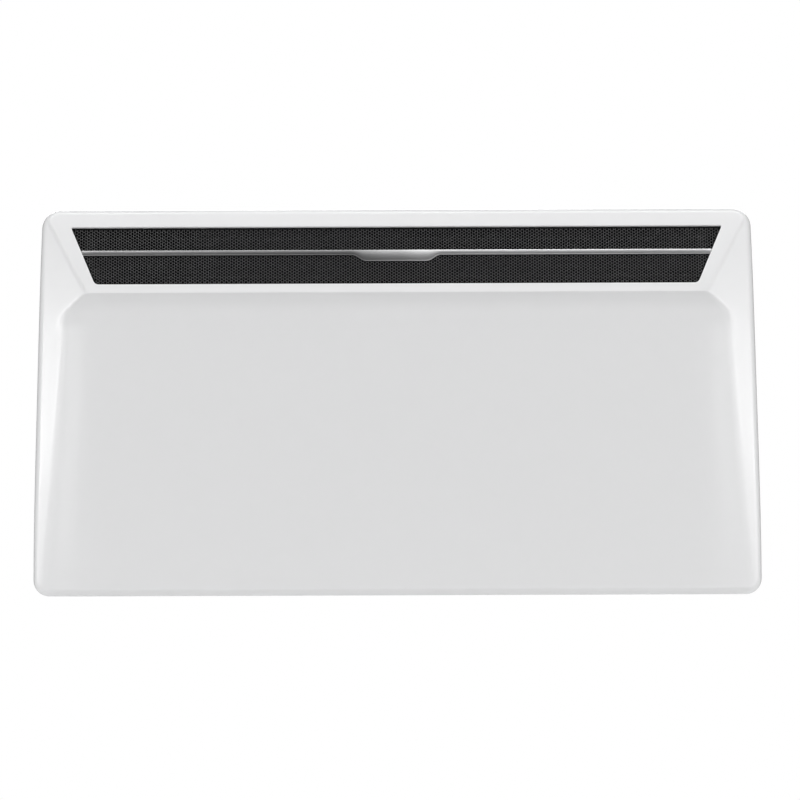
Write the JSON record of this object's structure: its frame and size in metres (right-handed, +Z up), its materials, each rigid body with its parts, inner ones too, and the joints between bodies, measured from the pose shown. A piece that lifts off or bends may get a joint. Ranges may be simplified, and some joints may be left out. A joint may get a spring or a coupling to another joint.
{
  "type": "wall panel convector heater",
  "caption": "White electric panel convector that hangs on a wall bracket, with a slanted honeycomb air outlet, silver trim bar and plug-in control module in its side.",
  "frame": {"origin": "centre of the wall bracket's back face, on the wall", "axes": "+X to the viewer's right along the heater's width, +Y into the wall, +Z up"},
  "size_m": [0.8308, 0.112, 0.44],
  "materials": {
    "white_enamel": "gloss white powder enamel",
    "zinc_steel": "zinc plated sheet",
    "screw_steel": "zinc plated",
    "raw_aluminium": "mill finish",
    "black_steel": "satin black stove enamel",
    "black_plastic": "satin black moulding",
    "grey_plastic": "fine grained dark grey moulding",
    "silver_trim": "satin silver",
    "ceramic": "unglazed",
    "rubber": "matt",
    "brass": "plain",
    "red_lens": "clear red",
    "wire_brown": "silicone sleeve",
    "wire_blue": "silicone sleeve",
    "wire_green": "silicone sleeve"
  },
  "bodies": {
    "bracket": {"wall_bracket": "zinc_steel"},
    "heater": {"front_housing": "white_enamel", "rear_panel": "zinc_steel", "intake_grille": "black_plastic", "rear_panel_screw_1": "screw_steel", "rear_panel_screw_2": "screw_steel", "rear_panel_screw_3": "screw_steel", "rear_panel_screw_4": "screw_steel", "rear_panel_screw_5": "screw_steel", "rear_panel_screw_6": "screw_steel", "wall_bumper_left": "rubber", "wall_bumper_right": "rubber", "outlet_mesh": "black_steel", "outlet_trim_bar": "silver_trim", "louvre_vane_1": "black_steel", "louvre_vane_2": "black_steel", "louvre_vane_3": "black_steel", "vane_rack_left": "black_steel", "vane_rack_right": "black_steel", "heating_fins": "raw_aluminium", "element_sheath": "zinc_steel", "element_bush_left": "ceramic", "element_bush_right": "ceramic", "element_bracket_left": "zinc_steel", "element_bracket_right": "zinc_steel", "heat_shield": "raw_aluminium", "air_guide": "black_steel", "thermal_cutout": "ceramic", "terminal_block": "ceramic", "cord_gland": "rubber", "wire_live": "wire_brown", "wire_element_live": "wire_brown", "wire_element_neutral": "wire_blue", "wire_earth": "wire_green", "wire_module_live": "wire_brown", "wire_module_neutral": "wire_blue", "module_bay": "grey_plastic", "bay_socket": "grey_plastic"},
    "module": {"module_case": "grey_plastic", "module_face": "grey_plastic", "module_plug": "black_plastic", "thermostat_body": "brass", "rocker_housing": "black_plastic", "pilot_lens": "red_lens"},
    "thermostat": {"thermostat_knob": "black_plastic", "thermostat_spindle": "brass"},
    "power_rocker": {"rocker": "black_plastic"}
  },
  "joints": [
    {"name": "heater_lift", "type": "slide", "parent": "bracket", "child": "heater", "axis": [0, 0, 1], "range_m": [0, 0.0125]},
    {"name": "module_slide", "type": "slide", "parent": "heater", "child": "module", "axis": [1, 0, 0], "range_m": [0, 0.105]},
    {"name": "thermostat_turn", "type": "hinge", "parent": "module", "child": "thermostat", "pos_m": [0.393, -0.044, -0.181], "axis": [1, 0, 0], "range_deg": [0, 270]},
    {"name": "rocker_tip", "type": "hinge", "parent": "module", "child": "power_rocker", "pos_m": [0.3895, -0.044, -0.237], "axis": [0, 1, 0], "range_deg": [-11, 11]}
  ]
}
